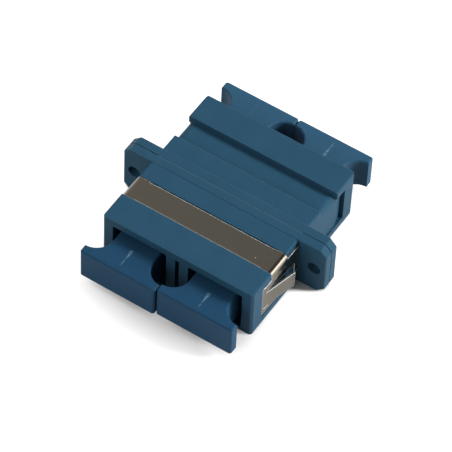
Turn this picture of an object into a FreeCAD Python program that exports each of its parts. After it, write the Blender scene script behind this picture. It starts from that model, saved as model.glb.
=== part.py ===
import FreeCAD
import Part
import math
import os

# Duplex fibre adapter with a flange: two identical moulded housing halves are
# welded back to back at the flange.  Each of the two channels holds a pair of
# latch inserts and a split sleeve, a sprung panel clip straddles the front half
# and a dust cap closes each of the four ports.
# Frame, in mm: X along the flange, Y along the fibres (front is -Y), Z up,
# origin under the middle of the weld seam, on the plane the part rests on.

Vector = FreeCAD.Vector

# ---- driving dimensions, mm -------------------------------------------------

# ports
PORT_PITCH = 12.9
PORT_WIDTH = 9.2
PORT_HEIGHT = 7.3
PORT_CORNER_RADIUS = 0.3
KEYWAY_WIDTH = 3.4
KEYWAY_LENGTH = 5.0
CORE_SLOT_WIDTH = 0.7      # cored slot in the wall between the ports
CORE_SLOT_DEPTH = 9.0
SEAT_MARGIN = 0.3          # insert seat larger than the port, each side
SEAT_DEPTH = 1.4
LATCH_RELIEF_DEPTH = 0.4   # room behind each latch arm
LATCH_RELIEF_MARGIN = 0.3  # relief beyond the arm, above, below and past the tip

# housing body
SIDE_WALL = 1.8            # outside each port
FLOOR = 0.7                # under the ports
ROOF = 1.35                # over the ports
BODY_REACH = 13.6          # seam to port mouth
TOP_EDGE_RADIUS = 0.3      # long upper edges of end block and collar
BASE_EDGE_RADIUS = 0.25    # long lower edges
MOUTH_CORNER_CHAMFER = 0.35   # upright edges at the port mouth
COLLAR_REACH = 4.55        # seam to the end of the raised collar
COLLAR_DROP = 0.05         # collar top below the end block top
RECESS_LENGTH = 4.25       # clip seat, along the fibres
RECESS_DROP = 0.92         # clip seat floor below the end block top
RECESS_EDGE_RADIUS = 1.05  # rounded shoulders of the clip seat
SIDE_DROP = 0.24           # side seat of the clip inside the end block side
LEDGE_HEIGHT = 1.3         # shelf under the side seat
POCKET_LENGTH = 2.2        # pocket in the end block that takes the clip tab
POCKET_DEPTH = 0.72        # its deep end, inside the end block side
POCKET_TOP_DROP = 1.4      # its upper edge below the end block top

# flange
HOLE_INSET = 2.65          # body side to hole middle
EAR_MARGIN = 1.95          # hole middle to flange end
HOLE_RADIUS = 1.1
FLANGE_HALF_THICKNESS = 1.45
FLANGE_CORNER_CHAMFER = 1.06
FLANGE_RIM_CHAMFER = 0.15
SEAM_CHAMFER = 0.12

# latch inserts
SEAT_CLEARANCE = 0.05
TUBE_RADIUS = 2.3
TUBE_REACH = 6.0
TUBE_LIP = 0.25            # stops the sleeve at the tube's end
LIP_BORE_RADIUS = 1.35
ARM_THICKNESS = 0.45
ARM_HEIGHT = 3.6
ARM_REACH = 11.0
ARM_WALL_GAP = 0.15        # arm to port wall
HOOK_DEPTH = 0.45
HOOK_LENGTH = 1.5

# split sleeves
SLEEVE_RADIUS = 1.6
SLEEVE_WALL = 0.35
SLEEVE_SLIT = 0.5
SLEEVE_CLEARANCE = 0.06    # sleeve to tube bore, radial and at each end

# dust caps
CAP_THICKNESS = 5.7
CAP_GAP = 0.12             # between neighbouring caps
CAP_OVERHANG = 5.45        # port mouth to the cap's outer face
CAP_RIM = 1.45             # thickness of the grip at its ends
CAP_NECK_WIDTH = 7.0
CAP_NECK_END = 3.4         # seam to the neck's inner end
CAP_SCOOP_RADIUS = 2.85
CAP_CORNER_RADIUS = 0.4    # upright corners of the outer face
CAP_BORE_CLEARANCE = 0.05  # neck bore round and beyond the sleeve tube
CAP_STANDOFF = 0.35        # the front left cap is not pushed fully home
CAP_EDGE_CHAMFER = 0.2
CAP_LEAD_IN = 0.4

# panel clip
CLIP_STEEL = 0.28
CLIP_FLOOR_GAP = 0.5       # top plate above the seat floor
CLIP_SIDE_GAP = 0.01       # side panel to side seat
CLIP_BEND_RADIUS = 0.54    # inside the two top bends
CLIP_END_GAP = 0.03        # top plate to each end of the seat
CLIP_WAIST = 0.13          # top plate narrows by this much on each edge
CLIP_SHOULDER = 2.2        # full width kept this far in from each side
CLIP_WING_GAP = 0.2        # flange to the rear edge of the side panels
CLIP_WING_DROP = 0.15      # the wing's upper edge falls this much to its rear
CLIP_LEG_WIDTH = 0.85      # leg at the rear of the wing, behind the tang
CLIP_LEG_BASE = 3.1        # foot of that leg above the resting plane
CLIP_BEND_SETBACK = 1.2    # seat end to the upright bend line of tab and tang
CLIP_FLARE_DEG = 9.0
PANEL_ROOM = 2.35          # flange to the tang tips, before flaring
CLIP_SLIT = 0.15
CLIP_SLIT_HEIGHT = 6.45    # slit above the resting plane, at its closed end
CLIP_TIP_TOP = 5.1         # slit above the resting plane, just past the tang tip
CLIP_TANG_BASE = 1.8       # lower edge of the tang, just past its tip
CLIP_ARCH_SETBACK = 1.4    # the lower edge is highest this far behind the seat end
CLIP_ARCH_HEIGHT = 2.9
CLIP_FOOT_HEIGHT = 1.75    # lower edge of the tab at its front end
CLIP_TAB_GAP = 0.15        # tab edges to the pocket's upper edge and end
CLIP_NICK_LENGTH = 0.85    # small lanced mark low on the bend line, each side
CLIP_NICK_WIDTH = 0.2
CLIP_NICK_HEIGHT = 3.05
CLIP_NICK_TILT_DEG = 8.0

PAST = 1.0                 # cutters run this far past what they cut

# ---- derived places ---------------------------------------------------------

BODY_WIDTH = PORT_PITCH + PORT_WIDTH + 2 * SIDE_WALL
BODY_HEIGHT = FLOOR + PORT_HEIGHT + ROOF
HOLE_PITCH = BODY_WIDTH + 2 * HOLE_INSET
FLANGE_WIDTH = HOLE_PITCH + 2 * EAR_MARGIN
HALF_WIDTH = BODY_WIDTH / 2
SIDE_SEAT_X = HALF_WIDTH - SIDE_DROP
RECESS_END = COLLAR_REACH + RECESS_LENGTH
POCKET_END = RECESS_END + POCKET_LENGTH
POCKET_TOP = BODY_HEIGHT - POCKET_TOP_DROP
RECESS_TOP = BODY_HEIGHT - RECESS_DROP
COLLAR_TOP = BODY_HEIGHT - COLLAR_DROP
PORT_X = PORT_PITCH / 2
PORT_MIDDLE = FLOOR + PORT_HEIGHT / 2
TUBE_BORE_RADIUS = SLEEVE_RADIUS + SLEEVE_CLEARANCE
CAP_WIDTH = PORT_PITCH - CAP_GAP
CAP_FACE_REACH = BODY_REACH + CAP_OVERHANG
CAP_BORE_END = TUBE_REACH + CAP_BORE_CLEARANCE
ARM_OUTER = PORT_WIDTH / 2 - ARM_WALL_GAP
CLIP_INNER_X = SIDE_SEAT_X + CLIP_SIDE_GAP
CLIP_OUTER_X = CLIP_INNER_X + CLIP_STEEL
CLIP_TOP = RECESS_TOP + CLIP_FLOOR_GAP + CLIP_STEEL
CLIP_SKIRT = CLIP_TOP - CLIP_STEEL - CLIP_BEND_RADIUS
CLIP_PLATE_REAR = COLLAR_REACH + CLIP_END_GAP
CLIP_PLATE_FRONT = RECESS_END - CLIP_END_GAP
CLIP_TAB_FRONT = POCKET_END - CLIP_TAB_GAP
CLIP_WING_REAR = FLANGE_HALF_THICKNESS + CLIP_WING_GAP
CLIP_TIP = FLANGE_HALF_THICKNESS + PANEL_ROOM
CLIP_BEND_LINE = RECESS_END + CLIP_BEND_SETBACK
CLIP_LEG_FRONT = CLIP_WING_REAR + CLIP_LEG_WIDTH
CLIP_ARCH = RECESS_END - CLIP_ARCH_SETBACK


# ---- shared forms -----------------------------------------------------------

def face_from_points(points):
    """Flat face inside the straight-sided outline through the points."""
    return Part.Face(Part.makePolygon(points + [points[0]]))


def plan_prism(outline, low, high):
    """Upright prism: an (x, y) outline between two heights."""
    face = face_from_points([Vector(x, y, low) for x, y in outline])
    return face.extrude(Vector(0, 0, high - low))


def side_prism(outline, near, far):
    """Sideways prism: a (y, z) outline between two places along X."""
    face = face_from_points([Vector(near, y, z) for y, z in outline])
    return face.extrude(Vector(far - near, 0, 0))


def corner_arc(centre_x, centre_z, radius, start_deg, turn_deg):
    """Arc in the XZ plane from its start angle; a negative turn is clockwise."""
    points = []
    for share in (0, 0.5, 1):
        angle = math.radians(start_deg + share * turn_deg)
        x = centre_x + radius * math.cos(angle)
        z = centre_z + radius * math.sin(angle)
        points.append(Vector(x, 0, z))
    return Part.Arc(*points).toShape()


def face_from_arcs(arcs):
    """Flat face bounded by the arcs and the straight lines that join them."""
    edges = []
    for this, following in zip(arcs, arcs[1:] + arcs[:1]):
        edges.append(this)
        edges.append(Part.makeLine(this.Vertexes[-1].Point, following.Vertexes[0].Point))
    return Part.Face(Part.Wire(edges))


def rounded_section(low_x, high_x, low_z, high_z, top_radius, base_radius):
    """Rectangle in the XZ plane with rounded upper and lower corners."""
    return face_from_arcs([
        corner_arc(high_x - base_radius, low_z + base_radius, base_radius, -90, 90),
        corner_arc(high_x - top_radius, high_z - top_radius, top_radius, 0, 90),
        corner_arc(low_x + top_radius, high_z - top_radius, top_radius, 90, 90),
        corner_arc(low_x + base_radius, low_z + base_radius, base_radius, 180, 90),
    ])


def bar(section, start, end):
    """XZ section swept along -Y between two distances from the seam."""
    block = section.extrude(Vector(0, start - end, 0))
    block.translate(Vector(0, -start, 0))
    return block


def rounded_opening(centre_x, centre_z, width, height, start, end, radius):
    """Cutter along -Y with a rounded rectangular section."""
    section = rounded_section(centre_x - width / 2, centre_x + width / 2,
                              centre_z - height / 2, centre_z + height / 2, radius, radius)
    return bar(section, start, end)


def tube_cutter(radius, centre_x, centre_z, start, end):
    """Cylinder along -Y between two distances from the seam."""
    return Part.makeCylinder(radius, end - start, Vector(centre_x, -start, centre_z), Vector(0, -1, 0))


def both_sides(shape):
    """The shape and its mirror image across the middle plane."""
    return [shape, shape.mirror(Vector(0, 0, 0), Vector(1, 0, 0))]


def turned_to_rear(shape):
    """The same piece on the rear half, turned about the upright axis."""
    turned = shape.copy()
    turned.rotate(Vector(0, 0, 0), Vector(0, 0, 1), 180)
    return turned


# ---- housing half -----------------------------------------------------------

def flange_half():
    """Half of the flange, with clipped corners and softened ends."""
    x = FLANGE_WIDTH / 2
    c = FLANGE_CORNER_CHAMFER
    h = BODY_HEIGHT
    outline = [(x - c, 0), (x, c), (x, h - c), (x - c, h), (c - x, h), (-x, h - c), (-x, c), (c - x, 0)]
    face = face_from_points([Vector(px, 0, pz) for px, pz in outline])
    plate = face.extrude(Vector(0, -FLANGE_HALF_THICKNESS, 0))
    front = [e for e in plate.Edges if abs(e.BoundBox.YMax + FLANGE_HALF_THICKNESS) < 1e-6]
    ends = [e for e in front if e.BoundBox.XLength < HALF_WIDTH]
    plate = plate.makeChamfer(FLANGE_RIM_CHAMFER, ends)
    seam = [e for e in plate.Edges if abs(e.BoundBox.YMin) < 1e-6]
    return plate.makeChamfer(SEAM_CHAMFER, seam)


def stepped_bar(half_width, top, start, end, top_radius):
    """Length of the body above the shelf, with rounded shoulders."""
    corner = Vector(-half_width, -end, LEDGE_HEIGHT)
    crown = Part.makeBox(2 * half_width, end - start, top - LEDGE_HEIGHT, corner)
    section = rounded_section(-half_width, half_width, 0, top, top_radius, BASE_EDGE_RADIUS)
    return crown.common(bar(section, start, end))


def outer_body():
    """End block, clip seat and collar, stepped along the fibres, on a shelf."""
    section = rounded_section(-HALF_WIDTH, HALF_WIDTH, 0, BODY_HEIGHT, TOP_EDGE_RADIUS, BASE_EDGE_RADIUS)
    block = bar(section, RECESS_END, BODY_REACH)
    seat = stepped_bar(SIDE_SEAT_X, RECESS_TOP, COLLAR_REACH, RECESS_END, RECESS_EDGE_RADIUS)
    collar = stepped_bar(SIDE_SEAT_X, COLLAR_TOP, 0, COLLAR_REACH, TOP_EDGE_RADIUS)
    corner = Vector(-BODY_WIDTH, -BODY_REACH, LEDGE_HEIGHT)
    above = Part.makeBox(2 * BODY_WIDTH, BODY_REACH, BODY_HEIGHT, corner)
    shelf = bar(section, 0, RECESS_END).cut(above)
    return block.multiFuse([shelf, seat, collar])


def mouth_corners():
    """Wedges that clip the upright corners at the port mouth."""
    c = MOUTH_CORNER_CHAMFER
    x = HALF_WIDTH
    y = -BODY_REACH
    outline = [(x - c - PAST, y - PAST), (x + PAST, y - PAST), (x + PAST, y + c + PAST)]
    return both_sides(plan_prism(outline, -PAST, BODY_HEIGHT + PAST))


def tab_pockets():
    """Ramped pockets in the sides of the end block, open towards the clip seat."""
    ramp = [
        (SIDE_SEAT_X, -RECESS_END),
        (HALF_WIDTH - POCKET_DEPTH, -POCKET_END),
        (HALF_WIDTH + PAST, -POCKET_END),
        (HALF_WIDTH + PAST, -RECESS_END),
    ]
    return both_sides(plan_prism(ramp, LEDGE_HEIGHT, POCKET_TOP))


def port_cutters(x):
    """Everything cut for one port: bore, insert seat, latch reliefs and keyway."""
    mouth = BODY_REACH + PAST
    bore = rounded_opening(x, PORT_MIDDLE, PORT_WIDTH, PORT_HEIGHT, -PAST, mouth, PORT_CORNER_RADIUS)
    seat = rounded_opening(x, PORT_MIDDLE, PORT_WIDTH + 2 * SEAT_MARGIN, PORT_HEIGHT + 2 * SEAT_MARGIN,
                           -PAST, SEAT_DEPTH, PORT_CORNER_RADIUS)
    relief_width = PORT_WIDTH + 2 * LATCH_RELIEF_DEPTH
    relief_height = ARM_HEIGHT + 2 * LATCH_RELIEF_MARGIN
    relief = rounded_opening(x, PORT_MIDDLE, relief_width, relief_height, SEAT_DEPTH,
                             ARM_REACH + LATCH_RELIEF_MARGIN, LATCH_RELIEF_DEPTH / 2)
    keyway = Part.makeBox(KEYWAY_WIDTH, KEYWAY_LENGTH + PAST, FLOOR + 2 * PAST,
                          Vector(x - KEYWAY_WIDTH / 2, -mouth, -PAST))
    return [bore, seat, relief, keyway]


def housing_half():
    """One moulded half: flange, stepped body, ports, pockets and fixing holes."""
    body = outer_body().fuse(flange_half())
    cutters = tab_pockets() + mouth_corners()
    for x in (-PORT_X, PORT_X):
        cutters += port_cutters(x)
    cutters.append(Part.makeBox(CORE_SLOT_WIDTH, CORE_SLOT_DEPTH + PAST, PORT_HEIGHT,
                                Vector(-CORE_SLOT_WIDTH / 2, -BODY_REACH - PAST, FLOOR)))
    for x in (-HOLE_PITCH / 2, HOLE_PITCH / 2):
        cutters.append(tube_cutter(HOLE_RADIUS, x, BODY_HEIGHT / 2, -PAST, FLANGE_HALF_THICKNESS + PAST))
    return body.cut(cutters).removeSplitter()


# ---- panel clip -------------------------------------------------------------

def clip_bridge():
    """Top plate with a rounded bend down each side, waisted between its shoulders."""
    x = CLIP_INNER_X - CLIP_BEND_RADIUS
    arch = face_from_arcs([
        corner_arc(x, CLIP_SKIRT, CLIP_BEND_RADIUS + CLIP_STEEL, 0, 90),
        corner_arc(-x, CLIP_SKIRT, CLIP_BEND_RADIUS + CLIP_STEEL, 90, 90),
        corner_arc(-x, CLIP_SKIRT, CLIP_BEND_RADIUS, 180, -90),
        corner_arc(x, CLIP_SKIRT, CLIP_BEND_RADIUS, 90, -90),
    ])
    bridge = bar(arch, CLIP_PLATE_REAR, CLIP_PLATE_FRONT)
    waist = 2 * (CLIP_OUTER_X - CLIP_SHOULDER)
    trims = []
    for y in (CLIP_WAIST - CLIP_PLATE_FRONT - PAST, -CLIP_PLATE_REAR - CLIP_WAIST):
        trims.append(Part.makeBox(waist, PAST, 2 * PAST, Vector(-waist / 2, y, CLIP_TOP - PAST)))
    return bridge.cut(trims)


def strip(path):
    """Outline of bent sheet: the inner (x, y) line of the path and its outer twin."""
    outer_line = []
    for i, (x, y) in enumerate(path):
        before = path[max(i - 1, 0)]
        after = path[min(i + 1, len(path) - 1)]
        run = Vector(after[0] - before[0], after[1] - before[1], 0).normalize()
        outer_line.append((x + run.y * CLIP_STEEL, y - run.x * CLIP_STEEL))
    return path + outer_line[::-1]


def clip_side():
    """Right side panel: wing, tab bent into the pocket and tang flared off the body."""
    flare = math.tan(math.radians(CLIP_FLARE_DEG))
    pivot = (CLIP_INNER_X, -CLIP_BEND_LINE)
    front = (CLIP_INNER_X - flare * (CLIP_TAB_FRONT - CLIP_BEND_LINE), -CLIP_TAB_FRONT)
    rear = (CLIP_INNER_X, -CLIP_WING_REAR)
    tip = (CLIP_INNER_X + flare * (CLIP_BEND_LINE - CLIP_TIP), -CLIP_TIP)
    tab_top = POCKET_TOP - CLIP_TAB_GAP
    wing_outline = [
        (-CLIP_PLATE_FRONT, CLIP_SKIRT),
        (-CLIP_PLATE_FRONT, tab_top),
        (-CLIP_TAB_FRONT, tab_top),
        (-CLIP_TAB_FRONT, CLIP_SLIT_HEIGHT),
        (-CLIP_BEND_LINE, CLIP_SLIT_HEIGHT),
        (-CLIP_LEG_FRONT, CLIP_TIP_TOP),
        (-CLIP_LEG_FRONT, CLIP_LEG_BASE),
        (-CLIP_WING_REAR, CLIP_LEG_BASE),
        (-CLIP_WING_REAR, CLIP_SKIRT - CLIP_WING_DROP),
        (-CLIP_PLATE_REAR, CLIP_SKIRT),
    ]
    lower_outline = [
        (-CLIP_TAB_FRONT, CLIP_SLIT_HEIGHT),
        (-CLIP_TAB_FRONT, CLIP_FOOT_HEIGHT),
        (-CLIP_ARCH, CLIP_ARCH_HEIGHT),
        (-CLIP_TIP + PAST, CLIP_TANG_BASE),
        (-CLIP_TIP + PAST, CLIP_TIP_TOP - CLIP_SLIT),
        (-CLIP_BEND_LINE, CLIP_SLIT_HEIGHT - CLIP_SLIT),
        (-CLIP_BEND_LINE, CLIP_SLIT_HEIGHT),
    ]
    upper = plan_prism(strip([front, pivot, rear]), LEDGE_HEIGHT, CLIP_SKIRT)
    lower = plan_prism(strip([front, tip]), LEDGE_HEIGHT, CLIP_SKIRT)
    upper = upper.common(side_prism(wing_outline, 0, BODY_WIDTH))
    lower = lower.common(side_prism(lower_outline, 0, BODY_WIDTH))
    return upper.fuse(lower)


def clip_nick():
    """Small lanced mark through the bend line, below the slit."""
    corner = Vector(CLIP_INNER_X - PAST, -CLIP_NICK_LENGTH / 2, -CLIP_NICK_WIDTH / 2)
    nick = Part.makeBox(2 * PAST, CLIP_NICK_LENGTH, CLIP_NICK_WIDTH, corner)
    nick.rotate(Vector(0, 0, 0), Vector(1, 0, 0), CLIP_NICK_TILT_DEG)
    nick.translate(Vector(0, -CLIP_BEND_LINE, CLIP_NICK_HEIGHT))
    return nick


def panel_clip():
    """Sprung sheet clip: bridge over the housing, a side panel down each side."""
    sides = both_sides(clip_side())
    nicks = both_sides(clip_nick())
    return clip_bridge().multiFuse(sides).cut(nicks).removeSplitter()


# ---- latch inserts and sleeves ----------------------------------------------

def latch_arm():
    """Sprung arm on the +X side of its channel, with the hook at its tip."""
    inner = ARM_OUTER - ARM_THICKNESS
    root = SEAT_DEPTH - SEAT_CLEARANCE
    hook_back = ARM_REACH - HOOK_LENGTH
    outline = [
        (ARM_OUTER, -root / 2),
        (ARM_OUTER, -ARM_REACH),
        (inner, -ARM_REACH),
        (inner - HOOK_DEPTH, -hook_back - HOOK_DEPTH),
        (inner - HOOK_DEPTH, -hook_back),
        (inner, -hook_back),
        (inner, -root / 2),
    ]
    return plan_prism(outline, -ARM_HEIGHT / 2, ARM_HEIGHT / 2)


def latch_insert(x):
    """Base plate, half of the sleeve tube and two latch arms, moulded in one."""
    gap = SEAT_MARGIN - SEAT_CLEARANCE
    thickness = SEAT_DEPTH - SEAT_CLEARANCE
    base = rounded_opening(0, 0, PORT_WIDTH + 2 * gap, PORT_HEIGHT + 2 * gap,
                           0, thickness, PORT_CORNER_RADIUS)
    tube = tube_cutter(TUBE_RADIUS, 0, 0, 0, TUBE_REACH)
    bore = tube_cutter(TUBE_BORE_RADIUS, 0, 0, -PAST, TUBE_REACH - TUBE_LIP)
    lip_bore = tube_cutter(LIP_BORE_RADIUS, 0, 0, 0, TUBE_REACH + PAST)
    insert = base.multiFuse([tube] + both_sides(latch_arm())).cut([bore, lip_bore])
    insert.translate(Vector(x, 0, PORT_MIDDLE))
    return insert.removeSplitter()


def split_sleeve(x):
    """Slit ceramic tube that lines up the two ferrules."""
    reach = TUBE_REACH - TUBE_LIP - SLEEVE_CLEARANCE
    tube = tube_cutter(SLEEVE_RADIUS, 0, 0, -reach, reach)
    bore = tube_cutter(SLEEVE_RADIUS - SLEEVE_WALL, 0, 0, -reach - PAST, reach + PAST)
    slit = Part.makeBox(SLEEVE_SLIT, 2 * (reach + PAST), SLEEVE_RADIUS + PAST,
                        Vector(-SLEEVE_SLIT / 2, -reach - PAST, 0))
    sleeve = tube.cut([bore, slit])
    sleeve.translate(Vector(x, 0, PORT_MIDDLE))
    return sleeve


# ---- dust caps --------------------------------------------------------------

def cap_outline():
    """Plan of the cap: broad grip, scooped sides and a straight neck."""
    wide = CAP_WIDTH / 2
    neck = CAP_NECK_WIDTH / 2
    face = CAP_FACE_REACH
    rim = face - CAP_RIM
    tip = neck - CAP_LEAD_IN
    scoop_x = neck + CAP_SCOOP_RADIUS
    scoop_y = math.sqrt(CAP_SCOOP_RADIUS ** 2 - (scoop_x - wide) ** 2) - rim
    sweep = math.atan2(scoop_y + rim, scoop_x - wide) / 2
    middle_x = scoop_x - CAP_SCOOP_RADIUS * math.cos(sweep)
    middle_y = scoop_y - CAP_SCOOP_RADIUS * math.sin(sweep)
    turn = CAP_CORNER_RADIUS * (1 - math.sqrt(0.5))
    neck_line = Part.makePolygon([
        Vector(neck, scoop_y, 0),
        Vector(neck, -CAP_NECK_END - CAP_LEAD_IN, 0),
        Vector(tip, -CAP_NECK_END, 0),
        Vector(-tip, -CAP_NECK_END, 0),
        Vector(-neck, -CAP_NECK_END - CAP_LEAD_IN, 0),
        Vector(-neck, scoop_y, 0),
    ])
    face_end = Vector(wide - CAP_CORNER_RADIUS, -face, 0)
    side_end = Vector(wide, CAP_CORNER_RADIUS - face, 0)
    scoop_end = Vector(wide, -rim, 0)
    scoop = Part.Arc(scoop_end, Vector(middle_x, middle_y, 0), Vector(neck, scoop_y, 0)).toShape()
    end = Part.makeLine(side_end, scoop_end)
    corner = Part.Arc(face_end, Vector(wide - turn, turn - face, 0), side_end).toShape()
    edges = neck_line.Edges + [Part.makeLine(Vector(-face_end.x, -face, 0), face_end)]
    for edge in (scoop, end, corner):
        edges += both_sides(edge)
    return Part.Face(Part.Wire(Part.sortEdges(edges)[0]))


def dust_cap(x, standoff):
    """Dust cap of one port; its bored neck pushes over the sleeve tube."""
    block = cap_outline().extrude(Vector(0, 0, CAP_THICKNESS))
    block.translate(Vector(0, 0, -CAP_THICKNESS / 2))
    rims = [edge for edge in block.Edges if edge.BoundBox.ZLength < CAP_EDGE_CHAMFER]
    block = block.makeChamfer(CAP_EDGE_CHAMFER, rims)
    cap = block.cut(tube_cutter(TUBE_RADIUS + CAP_BORE_CLEARANCE, 0, 0, CAP_NECK_END - PAST, CAP_BORE_END))
    cap.translate(Vector(x, -standoff, PORT_MIDDLE))
    return cap


# ---- assembly ---------------------------------------------------------------

def export(name, shape):
    """Write one piece, named after its node."""
    solids = shape.Solids
    if len(solids) != 1 or not solids[0].isValid():
        raise ValueError(f"{name}: {len(solids)} solids, valid {shape.isValid()}")
    solids[0].exportStep(f"parts/{name}.step")


def main():
    os.makedirs("parts", exist_ok=True)
    half = housing_half()
    export("housing_front", half)
    export("housing_rear", turned_to_rear(half))
    export("panel_clip", panel_clip())
    for side, x, standoff in (("left", -PORT_X, CAP_STANDOFF), ("right", PORT_X, 0)):
        export(f"split_sleeve_{side}", split_sleeve(x))
        export(f"latch_insert_front_{side}", latch_insert(x))
        export(f"latch_insert_rear_{side}", turned_to_rear(latch_insert(-x)))
        export(f"dust_cap_front_{side}", dust_cap(x, standoff))
        export(f"dust_cap_rear_{side}", turned_to_rear(dust_cap(-x, 0)))


main()
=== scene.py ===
import math

import bmesh
import bpy
from mathutils import Matrix, Vector

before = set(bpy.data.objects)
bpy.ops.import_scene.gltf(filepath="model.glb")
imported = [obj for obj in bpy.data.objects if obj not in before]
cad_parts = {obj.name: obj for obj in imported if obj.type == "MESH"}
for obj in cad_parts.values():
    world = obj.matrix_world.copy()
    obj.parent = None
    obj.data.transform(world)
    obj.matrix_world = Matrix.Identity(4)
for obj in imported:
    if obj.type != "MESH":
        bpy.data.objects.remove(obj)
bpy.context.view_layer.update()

# ---- housing halves ----------------------------------------------------------
# Two identical blue PBT mouldings, welded back to back at the flange.  Their
# faces are satin from a lightly sparked mould, with edges painted a little paler, partly as wear and partly
# as a painted highlight, and grooves darkened with painted shade.

pbt_clouds = 0.0035      # clouding a few millimetres across, from uneven cooling
spark_grain = 0.00012    # sparked grain: really about 0.03 mm, drawn coarser so that it shows
spark_depth = 0.00002
rounded_edge = 0.00015   # how far the mouldings' edges look rounded
groove_reach = 0.0004    # a surface with another this near lies in a groove or an inner corner


def linear(code):
    """sRGB hex colour as linear red, green, blue and alpha."""
    parts = [int(code[i:i + 2], 16) / 255 for i in (1, 3, 5)]
    return [c / 12.92 if c <= 0.04045 else ((c + 0.055) / 1.055) ** 2.4 for c in parts] + [1]


def add(tree, kind, inputs=None, **settings):
    """Add a node with its settings; inputs are values, or sockets to link from."""
    node = tree.nodes.new("ShaderNode" + kind)
    for name, value in settings.items():
        setattr(node, name, value)
    for socket, value in (inputs or {}).items():
        if isinstance(value, bpy.types.NodeSocket):
            tree.links.new(value, node.inputs[socket])
        else:
            node.inputs[socket].default_value = value
    return node


def new_material(name):
    """An empty node material and the socket its surface goes into."""
    material = bpy.data.materials.new(name)
    material.use_nodes = True
    tree = material.node_tree
    tree.nodes.clear()
    output = tree.nodes.new("ShaderNodeOutputMaterial")
    return material, tree, output.inputs["Surface"]


def edge_rounding(tree, radius, gain):
    """Normal rounded over sharp edges, and how far each point lies on an edge, 0 to 1."""
    rounded = add(tree, "Bevel", {"Radius": radius}, samples=6)
    geometry = add(tree, "NewGeometry")
    facing = add(tree, "VectorMath", {0: rounded.outputs["Normal"], 1: geometry.outputs["Normal"]},
                 operation="DOT_PRODUCT")
    edge = add(tree, "MapRange", {"Value": facing.outputs["Value"], "From Min": 1.0, "From Max": 1.0 - gain})
    return rounded.outputs["Normal"], edge.outputs["Result"]


# Satin moulded PBT: even blue with faint clouding, and a very fine sparked grain.
pbt, tree, surface = new_material("satin_moulded_pbt")
place = add(tree, "TexCoord").outputs["Object"]
clouds = add(tree, "TexNoise", {"Vector": place, "Scale": 1 / pbt_clouds, "Detail": 3.0, "Roughness": 0.6})
grain = add(tree, "TexNoise", {"Vector": place, "Scale": 1 / spark_grain, "Detail": 2.0, "Roughness": 0.5})
normal, edge = edge_rounding(tree, rounded_edge, 0.22)
tint = add(tree, "Mix", {"Factor": clouds.outputs["Fac"], "A": linear("#24465B"), "B": linear("#2A4F66")},
           data_type="RGBA")
speckle = add(tree, "MapRange", {"Value": grain.outputs["Fac"], "From Min": 0.3, "From Max": 0.7,
                                 "To Min": 0.93, "To Max": 1.07})
toned = add(tree, "VectorMath", {0: tint.outputs["Result"], "Scale": speckle.outputs["Result"]},
            operation="SCALE")
# edges are painted paler, partly as wear and partly as a painted highlight along them
wear_and_highlight = add(tree, "MapRange", {"Value": edge, "To Max": 0.4})
# grooves and inner corners stay unrubbed and are darkened with painted shade
open_air = add(tree, "AmbientOcclusion", {"Distance": groove_reach}, samples=8).outputs["AO"]
reached = add(tree, "MapRange", {"Value": open_air, "From Min": 0.6, "From Max": 0.9})
wear_and_highlight = add(tree, "Math", {0: wear_and_highlight.outputs["Result"], 1: reached.outputs["Result"]}, operation="MULTIPLY")
paled_edges = add(tree, "Mix", {"Factor": wear_and_highlight.outputs["Value"], "A": toned.outputs["Vector"],
                           "B": linear("#6F93A6")}, data_type="RGBA")
# painted shade: the colour is darkened in grooves and inner corners
corner_shade = add(tree, "MapRange", {"Value": open_air, "From Min": 0.3, "From Max": 0.7, "To Min": 0.5})
colour = add(tree, "VectorMath", {0: paled_edges.outputs["Result"], "Scale": corner_shade.outputs["Result"]},
             operation="SCALE")
gloss = add(tree, "MapRange", {"Value": clouds.outputs["Fac"], "To Min": 0.45, "To Max": 0.55})
bumps = add(tree, "Bump", {"Height": grain.outputs["Fac"], "Strength": 0.12, "Distance": spark_depth,
                           "Normal": normal})
skin = add(tree, "BsdfPrincipled", {"Base Color": colour.outputs["Vector"],
                                    "Roughness": gloss.outputs["Result"], "IOR": 1.5,
                                    "Specular IOR Level": 0.12, "Normal": bumps.outputs["Normal"]})
tree.links.new(skin.outputs["BSDF"], surface)

for name in ("housing_front", "housing_rear"):
    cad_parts[name].data.materials[0] = pbt

# ---- latch inserts -----------------------------------------------------------
# Black glass-filled PBT inserts, pressed into each port from the seam: a base
# plate, half of the sleeve tube and two sprung latch arms in one moulding.

fibre_mottle = 0.0002    # glass fibre ends make a fine dull mottle
fibre_depth = 0.00002
insert_edge = 0.0001

black, tree, surface = new_material("glass_filled_black_pbt")
place = add(tree, "TexCoord").outputs["Object"]
mottle = add(tree, "TexNoise", {"Vector": place, "Scale": 1 / fibre_mottle, "Detail": 3.0})
normal = edge_rounding(tree, insert_edge, 0.35)[0]
tone = add(tree, "Mix", {"Factor": mottle.outputs["Fac"], "A": linear("#0C0C0E"), "B": linear("#1A1A1D")},
           data_type="RGBA")
dull = add(tree, "MapRange", {"Value": mottle.outputs["Fac"], "To Min": 0.5, "To Max": 0.65})
bumps = add(tree, "Bump", {"Height": mottle.outputs["Fac"], "Strength": 0.1, "Distance": fibre_depth,
                           "Normal": normal})
skin = add(tree, "BsdfPrincipled", {"Base Color": tone.outputs["Result"], "Roughness": dull.outputs["Result"],
                                    "IOR": 1.5, "Normal": bumps.outputs["Normal"]})
tree.links.new(skin.outputs["BSDF"], surface)

for end in ("front", "rear"):
    for side in ("left", "right"):
        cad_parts[f"latch_insert_{end}_{side}"].data.materials[0] = black

# ---- split sleeves -----------------------------------------------------------
# White zirconia tubes, ground inside and out and slit along their length, that
# float in the insert tubes and line up the two ferrules.

ring_spacing = 0.0001    # centreless grinding leaves rings round the tube, drawn this far apart
ring_length = 1 / 300    # and about this long before they fade into others
ring_depth = 0.00001
sleeve_edge = 0.00008

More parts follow.
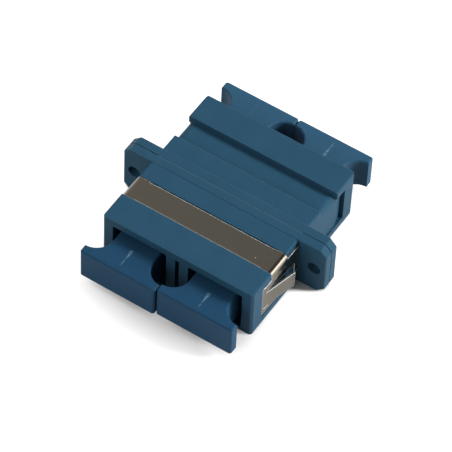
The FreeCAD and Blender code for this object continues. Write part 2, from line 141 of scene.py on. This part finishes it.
zirconia, tree, surface = new_material("ground_zirconia")
place = add(tree, "TexCoord").outputs["Object"]
along = add(tree, "Mapping", {"Vector": place,
                              "Scale": (1 / ring_length, 1 / ring_spacing, 1 / ring_length)})
rings = add(tree, "TexNoise", {"Vector": along.outputs["Vector"], "Scale": 1.0, "Detail": 2.0})
normal = edge_rounding(tree, sleeve_edge, 0.35)[0]
tone = add(tree, "Mix", {"Factor": rings.outputs["Fac"], "A": linear("#E9E6DE"), "B": linear("#F4F2EC")},
           data_type="RGBA")
bumps = add(tree, "Bump", {"Height": rings.outputs["Fac"], "Strength": 0.08, "Distance": ring_depth,
                           "Normal": normal})
skin = add(tree, "BsdfPrincipled", {"Base Color": tone.outputs["Result"], "Roughness": 0.22, "IOR": 2.1,
                                    "Normal": bumps.outputs["Normal"]})
tree.links.new(skin.outputs["BSDF"], surface)

for side in ("left", "right"):
    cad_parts[f"split_sleeve_{side}"].data.materials[0] = zirconia

# ---- panel clip --------------------------------------------------------------
# One strip of cold-rolled stainless spring steel, blanked and folded over the
# front half.  Its faces are dull from rolling and its sheared edges are painted bright, partly their own dull
# finish and partly a painted highlight.

line_spacing = 0.00008    # rolling lines run along the strip, drawn this far apart
line_length = 0.006
line_depth = 0.00001
smudge_size = 0.0012      # handling marks
sheared_edge = 0.00022    # how far the sheared edges show on the faces
scuff_centre = (0.0093, -0.0074, 0.0092)    # one pale scuff near the right end of the top
scuff_reach = (0.0001, 0.00035, 0.0005)
scuff_grain = 0.0003


def reaches_off(tree, place, centre, reach):
    """How far a place lies from a centre: 1 at the rim of the ellipsoid with that reach."""
    off = add(tree, "VectorMath", {0: place, 1: centre}, operation="SUBTRACT")
    off = add(tree, "VectorMath", {0: off.outputs["Vector"], 1: reach}, operation="DIVIDE")
    return add(tree, "VectorMath", {0: off.outputs["Vector"]}, operation="LENGTH").outputs["Value"]


steel, tree, surface = new_material("rolled_spring_steel")
place = add(tree, "TexCoord").outputs["Object"]
along = add(tree, "Mapping", {"Vector": place,
                              "Scale": (1 / line_length, 1 / line_spacing, 1 / line_spacing)})
lines = add(tree, "TexNoise", {"Vector": along.outputs["Vector"], "Scale": 1.0, "Detail": 3.0,
                               "Roughness": 0.6})
smudge = add(tree, "TexNoise", {"Vector": place, "Scale": 1 / smudge_size, "Detail": 4.0, "Roughness": 0.65})
normal, edge = edge_rounding(tree, sheared_edge, 0.1)
tone = add(tree, "Mix", {"Factor": smudge.outputs["Fac"], "A": linear("#827D72"), "B": linear("#8D877B")},
           data_type="RGBA")
scuff = add(tree, "MapRange", {"Value": reaches_off(tree, place, scuff_centre, scuff_reach),
                               "From Min": 0.3, "From Max": 1.0, "To Min": 0.8, "To Max": 0.0})
ragged = add(tree, "TexNoise", {"Vector": place, "Scale": 1 / scuff_grain, "Detail": 3.0})
ragged = add(tree, "MapRange", {"Value": ragged.outputs["Fac"], "From Min": 0.4, "From Max": 0.55})
scuff = add(tree, "Math", {0: scuff.outputs["Result"], 1: ragged.outputs["Result"]}, operation="MULTIPLY")
# sheared edges and scuffs are rough and pale, and scatter light where the faces mirror it; the pale edges
# also stand in for a painted highlight along them
edge = add(tree, "Math", {0: edge, 1: scuff.outputs["Value"]}, operation="MAXIMUM").outputs["Value"]
sheared_and_glint = add(tree, "Mix", {"Factor": edge, "A": tone.outputs["Result"], "B": linear("#DDE1E2")},
              data_type="RGBA")
mirror = add(tree, "MapRange", {"Value": edge, "To Min": 1.0, "To Max": 0.25})
dull = add(tree, "MapRange", {"Value": smudge.outputs["Fac"], "From Min": 0.3, "From Max": 0.7,
                              "To Min": 0.11, "To Max": 0.17})
bumps = add(tree, "Bump", {"Height": lines.outputs["Fac"], "Strength": 0.12, "Distance": line_depth,
                           "Normal": normal})
skin = add(tree, "BsdfPrincipled", {"Base Color": sheared_and_glint.outputs["Result"],
                                    "Roughness": dull.outputs["Result"],
                                    "Metallic": mirror.outputs["Result"], "Normal": bumps.outputs["Normal"]})
tree.links.new(skin.outputs["BSDF"], surface)

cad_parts["panel_clip"].data.materials[0] = steel

# ---- dust caps ---------------------------------------------------------------
# Softer blue polyethylene plugs, a little more saturated than the housing, with
# a pale stress streak down the middle of the grip, from pushing them in.

cap_clouds = 0.003
streak_off_middle = 0.0066         # each streak lies this far to the side of the adapter's middle
streak_start = (0.015, 0.0154)     # distances off the seam over which it comes in
streak_taper = (0.0155, 0.0168)    # over which it narrows
streak_stop = (0.0178, 0.0184)     # and over which it fades out
streak_inner_half = 0.00038        # half widths, at which its soft sides have faded out
streak_outer_half = 0.00013
streak_patches = 0.0004
grip_top = (0.00705, 0.0071)       # only the grip's top face is marked, above these heights
cap_gap = (-0.001, 0.001)          # the left cap lies before this stretch and the right one past it


def stress_streak(tree, place, left_mark):
    """How strongly a place is streaked, 0 to 1; the left cap of a pair has only a share of it."""
    parts = add(tree, "SeparateXYZ", {"Vector": place})
    across = add(tree, "Math", {0: parts.outputs["X"]}, operation="ABSOLUTE")
    off_middle = add(tree, "Math", {0: across.outputs["Value"], 1: streak_off_middle}, operation="SUBTRACT")
    off_middle = add(tree, "Math", {0: off_middle.outputs["Value"]}, operation="ABSOLUTE")
    out = add(tree, "Math", {0: parts.outputs["Y"]}, operation="ABSOLUTE").outputs["Value"]
    half = add(tree, "MapRange", {"Value": out, "From Min": streak_taper[0], "From Max": streak_taper[1],
                                  "To Min": streak_inner_half, "To Max": streak_outer_half})
    near = add(tree, "Math", {0: off_middle.outputs["Value"], 1: half.outputs["Result"]}, operation="DIVIDE")
    inside = add(tree, "MapRange", {"Value": near.outputs["Value"], "From Min": 0.1, "From Max": 1.0,
                                    "To Min": 1.0, "To Max": 0.0})
    start = add(tree, "MapRange", {"Value": out, "From Min": streak_start[0], "From Max": streak_start[1]})
    stop = add(tree, "MapRange", {"Value": out, "From Min": streak_stop[0], "From Max": streak_stop[1],
                                  "To Min": 1.0, "To Max": 0.0})
    top = add(tree, "MapRange", {"Value": parts.outputs["Z"], "From Min": grip_top[0],
                                 "From Max": grip_top[1]})
    patchy = add(tree, "TexNoise", {"Vector": place, "Scale": 1 / streak_patches, "Detail": 2.0})
    broken = add(tree, "MapRange", {"Value": patchy.outputs["Fac"], "From Min": 0.3, "From Max": 0.6,
                                    "To Max": 0.5})
    marked = add(tree, "MapRange", {"Value": parts.outputs["X"], "From Min": cap_gap[0],
                                    "From Max": cap_gap[1], "To Min": left_mark})
    streak = inside.outputs["Result"]
    for share in (start, stop, top, broken, marked):
        streak = add(tree, "Math", {0: streak, 1: share.outputs["Result"]}, operation="MULTIPLY")
        streak = streak.outputs["Value"]
    return streak


def cap_polythene(name, low, high, left_mark):
    """Moulded polyethylene, clouded between two blues, with its stress streak."""
    material, tree, surface = new_material(name)
    place = add(tree, "TexCoord").outputs["Object"]
    clouds = add(tree, "TexNoise", {"Vector": place, "Scale": 1 / cap_clouds, "Detail": 3.0,
                                    "Roughness": 0.6})
    grain = add(tree, "TexNoise", {"Vector": place, "Scale": 1 / spark_grain, "Detail": 2.0,
                                   "Roughness": 0.5})
    normal, edge = edge_rounding(tree, rounded_edge, 0.35)
    tint = add(tree, "Mix", {"Factor": clouds.outputs["Fac"], "A": linear(low), "B": linear(high)},
               data_type="RGBA")
    # edges are painted paler, partly as wear and partly as a painted highlight along them
    wear_and_highlight = add(tree, "MapRange", {"Value": edge, "To Max": 0.25})
    paled_edges = add(tree, "Mix", {"Factor": wear_and_highlight.outputs["Result"], "A": tint.outputs["Result"],
                               "B": linear("#5C83A3")}, data_type="RGBA")
    streak = stress_streak(tree, place, left_mark)
    colour = add(tree, "Mix", {"Factor": streak, "A": paled_edges.outputs["Result"], "B": linear("#86A9BC")},
                 data_type="RGBA")
    gloss = add(tree, "MapRange", {"Value": clouds.outputs["Fac"], "To Min": 0.45, "To Max": 0.55})
    bumps = add(tree, "Bump", {"Height": grain.outputs["Fac"], "Strength": 0.1, "Distance": spark_depth,
                               "Normal": normal})
    skin = add(tree, "BsdfPrincipled", {"Base Color": colour.outputs["Result"],
                                        "Roughness": gloss.outputs["Result"], "IOR": 1.5,
                                        "Specular IOR Level": 0.12, "Normal": bumps.outputs["Normal"]})
    tree.links.new(skin.outputs["BSDF"], surface)
    return material


# the front pair is painted a deeper blue than the rear pair as painted shade, the rear pair being the lit
# copy of the same polyethylene; the rear left cap is hardly streaked
lit_and_shaded_blues = {"front": ("#1C3F59", "#214663", 1.0), "rear": ("#2B4F67", "#315771", 0.15)}
for end, (low, high, left_mark) in lit_and_shaded_blues.items():
    polythene = cap_polythene(f"moulded_polyethylene_{end}", low, high, left_mark)
    for side in ("left", "right"):
        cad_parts[f"dust_cap_{end}_{side}"].data.materials[0] = polythene

# ---- floor -------------------------------------------------------------------
# A sheet of pale card under the part.  Where it is seen, itself or in a mirror,
# a lift makes it brighter than it is lit, so that it reads as white.

floor_half = 1.5
card_mottle = 0.0015
full_lift = 0.8
mirrored_near = 0.3              # share of the lift that steel mirrors close to the part
mirrored_far = 0.8               # and farther out
mirrored_ring = (0.02, 0.04)     # distances from the part over which the one grows to the other
shade_centre = (0.0013, -0.015, 0.0)    # a soft shade lies under and before the front caps
shade_reach = (0.0151, 0.0064, 1.0)     # the card is flat, so the height of it counts for nothing
shade_lift = 0.37
nook_slant = (0.51, -0.86, 0.0)  # level direction out of the nook between the right ear and the body
nook_depth = (0.0095, 0.0101)    # the nook's shade ends this far out in that direction
nook_body = (0.012, 0.0125)      # it begins at the body's right side
nook_ear = (0.0164, 0.0172)      # ends short of the ear's end
nook_seam = (-0.0005, 0.0)       # and lies before the seam
corner_reach = 0.003             # inner corners and the space under the caps are shaded this far

floor_mesh = bpy.data.meshes.new("floor")
shape = bmesh.new()
bmesh.ops.create_grid(shape, x_segments=1, y_segments=1, size=floor_half)
shape.to_mesh(floor_mesh)
shape.free()
floor = bpy.data.objects.new("floor", floor_mesh)
bpy.context.collection.objects.link(floor)

card, tree, surface = new_material("pale_card")
place = add(tree, "TexCoord").outputs["Object"]
mottle = add(tree, "TexNoise", {"Vector": place, "Scale": 1 / card_mottle, "Detail": 4.0})
pale = add(tree, "Mix", {"Factor": mottle.outputs["Fac"], "A": linear("#C4C3C1"), "B": linear("#C9C8C6")},
           data_type="RGBA")
paper = add(tree, "BsdfDiffuse", {"Color": pale.outputs["Result"]})
# the lift is least where the part's shadows lie: before the front caps, and in the right ear's nook
before_caps = add(tree, "MapRange", {"Value": reaches_off(tree, place, shade_centre, shade_reach),
                                     "From Min": 0.67, "From Max": 1.32,
                                     "To Min": shade_lift, "To Max": full_lift})
parts = add(tree, "SeparateXYZ", {"Vector": place})
slant = add(tree, "VectorMath", {0: place, 1: nook_slant}, operation="DOT_PRODUCT")
inside = add(tree, "MapRange", {"Value": slant.outputs["Value"], "From Min": nook_depth[0],
                                "From Max": nook_depth[1], "To Min": 1.0, "To Max": 0.0})
by_body = add(tree, "MapRange", {"Value": parts.outputs["X"], "From Min": nook_body[0],
                                 "From Max": nook_body[1]})
by_ear = add(tree, "MapRange", {"Value": parts.outputs["X"], "From Min": nook_ear[0],
                                "From Max": nook_ear[1], "To Min": 1.0, "To Max": 0.0})
by_seam = add(tree, "MapRange", {"Value": parts.outputs["Y"], "From Min": nook_seam[0],
                                 "From Max": nook_seam[1], "To Min": 1.0, "To Max": 0.0})
nook = inside.outputs["Result"]
for share in (by_body, by_ear, by_seam):
    nook = add(tree, "Math", {0: nook, 1: share.outputs["Result"]}, operation="MULTIPLY").outputs["Value"]
beside_ear = add(tree, "MapRange", {"Value": nook, "To Min": full_lift, "To Max": 0.0})
level = add(tree, "Math", {0: before_caps.outputs["Result"], 1: beside_ear.outputs["Result"]},
            operation="MINIMUM")
open_air = add(tree, "AmbientOcclusion", {"Distance": corner_reach}, samples=8).outputs["AO"]
open_air = add(tree, "MapRange", {"Value": open_air, "From Min": 0.3, "From Max": 0.6, "To Min": 0.1})
level = add(tree, "Math", {0: level.outputs["Value"], 1: open_air.outputs["Result"]}, operation="MULTIPLY")
# a camera or glass sees the whole lift, and a mirror a share that grows away from the part
ray = add(tree, "LightPath")
away = add(tree, "VectorMath", {0: place}, operation="LENGTH")
away = add(tree, "MapRange", {"Value": away.outputs["Value"], "From Min": mirrored_ring[0],
                              "From Max": mirrored_ring[1], "To Min": mirrored_near, "To Max": mirrored_far})
mirrored = add(tree, "Math", {0: ray.outputs["Is Glossy Ray"], 1: away.outputs["Result"]},
               operation="MULTIPLY")
seen = mirrored.outputs["Value"]
for kind in ("Is Camera Ray", "Is Transmission Ray"):
    seen = add(tree, "Math", {0: seen, 1: ray.outputs[kind]}, operation="MAXIMUM").outputs["Value"]
lift = add(tree, "Math", {0: seen, 1: level.outputs["Value"]}, operation="MULTIPLY")
glow = add(tree, "Emission", {"Color": linear("#FFFFFF"), "Strength": lift.outputs["Value"]})
both = add(tree, "AddShader", {0: paper.outputs["BSDF"], 1: glow.outputs["Emission"]})
tree.links.new(both.outputs["Shader"], surface)
floor_mesh.materials.append(card)

# ---- light -------------------------------------------------------------------
# A soft box high behind, a dim one in front, a small strong one on the right before
# a large dim one, and dim light all round.


def soft_box(name, direction, distance, width, height, radiance, in_reflections):
    """Area light of an even radiance, facing the part from a direction."""
    lamp = bpy.data.lights.new(name, "AREA")
    lamp.shape = "RECTANGLE"
    lamp.size = width
    lamp.size_y = height
    lamp.energy = radiance * math.pi * width * height
    box = bpy.data.objects.new(name, lamp)
    out = Vector(direction).normalized()
    box.location = out * distance
    box.rotation_euler = out.to_track_quat("Z", "Y").to_euler()
    box.visible_glossy = in_reflections
    bpy.context.collection.objects.link(box)


soft_box("behind", (0.0, 0.6, 0.8), distance=1.2, width=0.42, height=0.42, radiance=8.7,
         in_reflections=False)
soft_box("front", (-0.2, -0.8, 0.55), distance=1.5, width=1.2, height=1.2, radiance=2.1,
         in_reflections=False)
soft_box("right", (0.81, 0.41, 0.42), distance=1.5, width=0.33, height=0.33, radiance=60.0,
         in_reflections=False)
soft_box("right panel", (0.86, 0.43, 0.27), distance=1.5, width=0.8, height=1.2, radiance=4.0,
         in_reflections=True)

right_radiance = 0.12         # of the surroundings, by the side they are on
left_radiance = 0.4
far_left_radiance = 0.35      # on top of the left one's, where the left is lowest
world = bpy.data.worlds.new("surround")
bpy.context.scene.world = world
world.use_nodes = True
tree = world.node_tree
tree.nodes.clear()
# dim on the right, lighter on the left and brightest low on the left; white where the camera sees it
parts = add(tree, "SeparateXYZ", {"Vector": add(tree, "TexCoord").outputs["Generated"]})
around = add(tree, "MapRange", {"Value": parts.outputs["X"], "From Min": -0.35, "From Max": 0.0,
                                "To Min": left_radiance, "To Max": right_radiance})
low_left = add(tree, "MapRange", {"Value": parts.outputs["X"], "From Min": -0.8, "From Max": -0.6,
                                  "To Min": far_left_radiance, "To Max": 0.0})
around = add(tree, "Math", {0: around.outputs["Result"], 1: low_left.outputs["Result"]}, operation="ADD")
ray = add(tree, "LightPath")
level = add(tree, "Math", {0: around.outputs["Value"], 1: ray.outputs["Is Camera Ray"]},
            operation="MAXIMUM")
sky = add(tree, "Background", {"Color": linear("#FFFFFF"), "Strength": level.outputs["Value"]})
add(tree, "OutputWorld", {"Surface": sky.outputs["Background"]})

# ---- camera ------------------------------------------------------------------
# A long lens, about half a metre off, looking down over the front right corner.

azimuth = math.radians(30.745)
elevation = math.radians(52.474)
roll = math.radians(3.037)
distance = 0.49841
focal_length = 271.7

level_out = math.cos(elevation)
back = Vector((math.sin(azimuth) * level_out, -math.cos(azimuth) * level_out, math.sin(elevation)))
level_right = Vector((0, 0, 1)).cross(back).normalized()
level_up = back.cross(level_right)
right = math.cos(roll) * level_right + math.sin(roll) * level_up
up = math.cos(roll) * level_up - math.sin(roll) * level_right
turn = Matrix((right, up, back)).transposed().to_4x4()

lens = bpy.data.cameras.new("camera")
lens.sensor_width = 36
lens.lens = focal_length
lens.shift_x = -0.00363
lens.shift_y = 0.01546
lens.clip_start = 0.01
lens.clip_end = 10
camera = bpy.data.objects.new("camera", lens)
camera.matrix_world = Matrix.Translation(back * distance) @ turn
bpy.context.collection.objects.link(camera)
bpy.context.scene.camera = camera
bpy.context.scene.view_settings.view_transform = "Standard"
